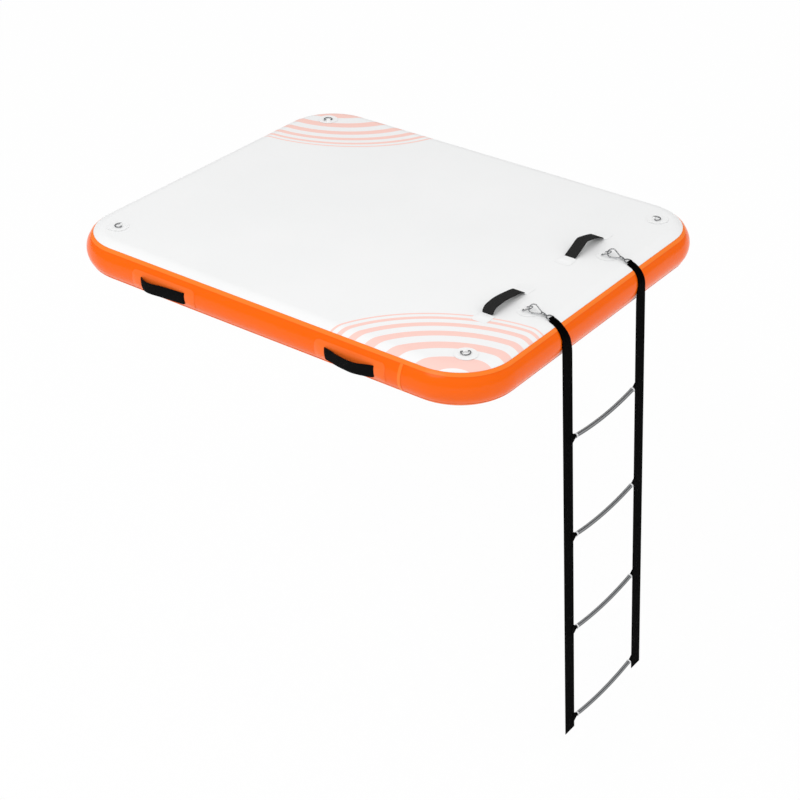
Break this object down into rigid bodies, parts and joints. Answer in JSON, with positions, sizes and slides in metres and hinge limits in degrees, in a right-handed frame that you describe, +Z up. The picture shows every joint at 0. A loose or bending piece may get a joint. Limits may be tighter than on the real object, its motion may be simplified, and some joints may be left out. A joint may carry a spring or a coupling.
{
  "type": "inflatable dock platform",
  "caption": "Flat drop-stitch inflatable swim dock with a rounded rail, webbing handles, tie-down rings, an inflation valve and a hanging webbing ladder.",
  "frame": {"origin": "middle of the pad's flat underside", "axes": "+X towards the end that the ladder hangs over, +Z up out of the deck"},
  "size_m": [1.9498, 1.5632, 1.7448],
  "materials": {
    "deck": "satin white PVC-coated fabric",
    "rail": "glossy orange PVC",
    "tape": "glossy orange PVC tape",
    "cloth": "raw polyester cloth and yarn",
    "webbing": "black woven webbing",
    "steel": "polished stainless steel",
    "rung": "dark grey ridged plastic",
    "valve": "black moulded plastic"
  },
  "bodies": {
    "pad": {"deck_sheet": "deck", "underside_sheet": "deck", "drop_stitch_core": "cloth", "side_wall": "rail", "top_seam_tape": "tape", "bottom_seam_tape": "tape", "wall_overlap_strip": "tape", "valve_housing": "valve", "valve_nut": "valve", "valve_spring": "steel", "side_patch_1": "rail", "side_handle_1": "webbing", "corner_patch_1": "deck", "side_patch_2": "rail", "side_handle_2": "webbing", "corner_patch_2": "deck", "side_patch_3": "rail", "side_handle_3": "webbing", "corner_patch_3": "deck", "side_patch_4": "rail", "side_handle_4": "webbing", "corner_patch_4": "deck", "deck_handle_1": "webbing", "deck_patch_1a": "deck", "deck_patch_1b": "deck", "ladder_patch_1": "deck", "top_strap_1": "webbing", "deck_handle_2": "webbing", "deck_patch_2a": "deck", "deck_patch_2b": "deck", "ladder_patch_2": "deck", "top_strap_2": "webbing"},
    "corner_ring_1": {"corner_ring_1": "steel"},
    "corner_ring_2": {"corner_ring_2": "steel"},
    "corner_ring_3": {"corner_ring_3": "steel"},
    "corner_ring_4": {"corner_ring_4": "steel"},
    "ladder_ring_1": {"ladder_ring_1": "steel"},
    "eye_1": {"swivel_eye_1": "steel"},
    "hook_1": {"hook_body_1": "steel"},
    "gate_1": {"hook_gate_1": "steel"},
    "ladder_ring_2": {"ladder_ring_2": "steel"},
    "eye_2": {"swivel_eye_2": "steel"},
    "hook_2": {"hook_body_2": "steel"},
    "gate_2": {"hook_gate_2": "steel"},
    "ladder_1": {"strap_1_1": "webbing", "strap_2_1": "webbing", "rung_1": "rung"},
    "ladder_2": {"strap_1_2": "webbing", "strap_2_2": "webbing", "rung_2": "rung"},
    "ladder_3": {"strap_1_3": "webbing", "strap_2_3": "webbing", "rung_3": "rung"},
    "ladder_4": {"strap_1_4": "webbing", "strap_2_4": "webbing", "rung_4": "rung"},
    "valve_plunger": {"valve_plunger": "valve"},
    "valve_cap": {"valve_cap": "valve"}
  },
  "joints": [
    {"name": "corner_ring_1_flip", "type": "hinge", "parent": "pad", "child": "corner_ring_1", "pos_m": [0.75587, -0.59737, 0.1548], "axis": [-0.7071, -0.7071, 0], "range_deg": [0, 175]},
    {"name": "corner_ring_2_flip", "type": "hinge", "parent": "pad", "child": "corner_ring_2", "pos_m": [0.75587, 0.59737, 0.1548], "axis": [0.7071, -0.7071, 0], "range_deg": [0, 175]},
    {"name": "corner_ring_3_flip", "type": "hinge", "parent": "pad", "child": "corner_ring_3", "pos_m": [-0.75587, 0.59737, 0.1548], "axis": [0.7071, 0.7071, 0], "range_deg": [0, 175]},
    {"name": "corner_ring_4_flip", "type": "hinge", "parent": "pad", "child": "corner_ring_4", "pos_m": [-0.75587, -0.59737, 0.1548], "axis": [-0.7071, 0.7071, 0], "range_deg": [0, 175]},
    {"name": "hook_1_lift", "type": "hinge", "parent": "pad", "child": "eye_1", "pos_m": [0.858, -0.25, 0.153], "axis": [0, 1, 0], "range_deg": [0, 2]},
    {"name": "ladder_ring_1_flip", "type": "hinge", "parent": "pad", "child": "ladder_ring_1", "pos_m": [0.75358, -0.25, 0.1548], "axis": [0, -1, 0], "range_deg": [0, 5.6]},
    {"name": "hook_1_swivel", "type": "hinge", "parent": "eye_1", "child": "hook_1", "pos_m": [0.82944, -0.25, 0.15804], "axis": [-0.9848, 0, 0.1736], "range_deg": [-4, 4]},
    {"name": "hook_1_gate", "type": "hinge", "parent": "hook_1", "child": "gate_1", "pos_m": [0.82088, -0.2482, 0.16131], "axis": [0.1249, -0.6947, 0.7084], "range_deg": [0, 22], "stiffness_Nm_per_rad": 0.08, "springref_deg": -20.05},
    {"name": "hook_2_lift", "type": "hinge", "parent": "pad", "child": "eye_2", "pos_m": [0.858, 0.25, 0.153], "axis": [0, 1, 0], "range_deg": [0, 2]},
    {"name": "ladder_ring_2_flip", "type": "hinge", "parent": "pad", "child": "ladder_ring_2", "pos_m": [0.75358, 0.25, 0.1548], "axis": [0, -1, 0], "range_deg": [0, 5.6]},
    {"name": "hook_2_swivel", "type": "hinge", "parent": "eye_2", "child": "hook_2", "pos_m": [0.82944, 0.25, 0.15804], "axis": [-0.9848, 0, 0.1736], "range_deg": [-4, 4]},
    {"name": "hook_2_gate", "type": "hinge", "parent": "hook_2", "child": "gate_2", "pos_m": [0.82028, 0.2482, 0.15789], "axis": [-0.1249, 0.6947, -0.7084], "range_deg": [0, 22], "stiffness_Nm_per_rad": 0.08, "springref_deg": -20.05},
    {"name": "ladder_swing", "type": "hinge", "parent": "pad", "child": "ladder_1", "pos_m": [0.9175, 0, 0.075], "axis": [0, -1, 0], "range_deg": [-3.6, 90]},
    {"name": "ladder_fold_1", "type": "hinge", "parent": "ladder_1", "child": "ladder_2", "pos_m": [0.94331, 0, -0.33519], "axis": [0, -1, 0], "range_deg": [0, 150]},
    {"name": "ladder_fold_2", "type": "hinge", "parent": "ladder_2", "child": "ladder_3", "pos_m": [0.96642, 0, -0.73753], "axis": [0, 1, 0], "range_deg": [0, 150]},
    {"name": "ladder_fold_3", "type": "hinge", "parent": "ladder_3", "child": "ladder_4", "pos_m": [0.99392, 0, -1.1396], "axis": [0, -1, 0], "range_deg": [0, 150]},
    {"name": "valve_plunger_press", "type": "slide", "parent": "pad", "child": "valve_plunger", "axis": [1, 0, 0], "range_m": [0, 0.004], "stiffness_N_per_m": 800, "springref_m": -0.003, "deforming": ["valve_spring"]},
    {"name": "valve_cap_open", "type": "hinge", "parent": "pad", "child": "valve_cap", "pos_m": [-0.9201, 0.42, 0.1005], "axis": [0, 1, 0], "range_deg": [0, 150]}
  ],
  "couplings": [
    {"joint": "ladder_ring_1_flip", "follows": "hook_1_lift", "ratio": 2.78},
    {"joint": "ladder_ring_2_flip", "follows": "hook_2_lift", "ratio": 2.78}
  ]
}
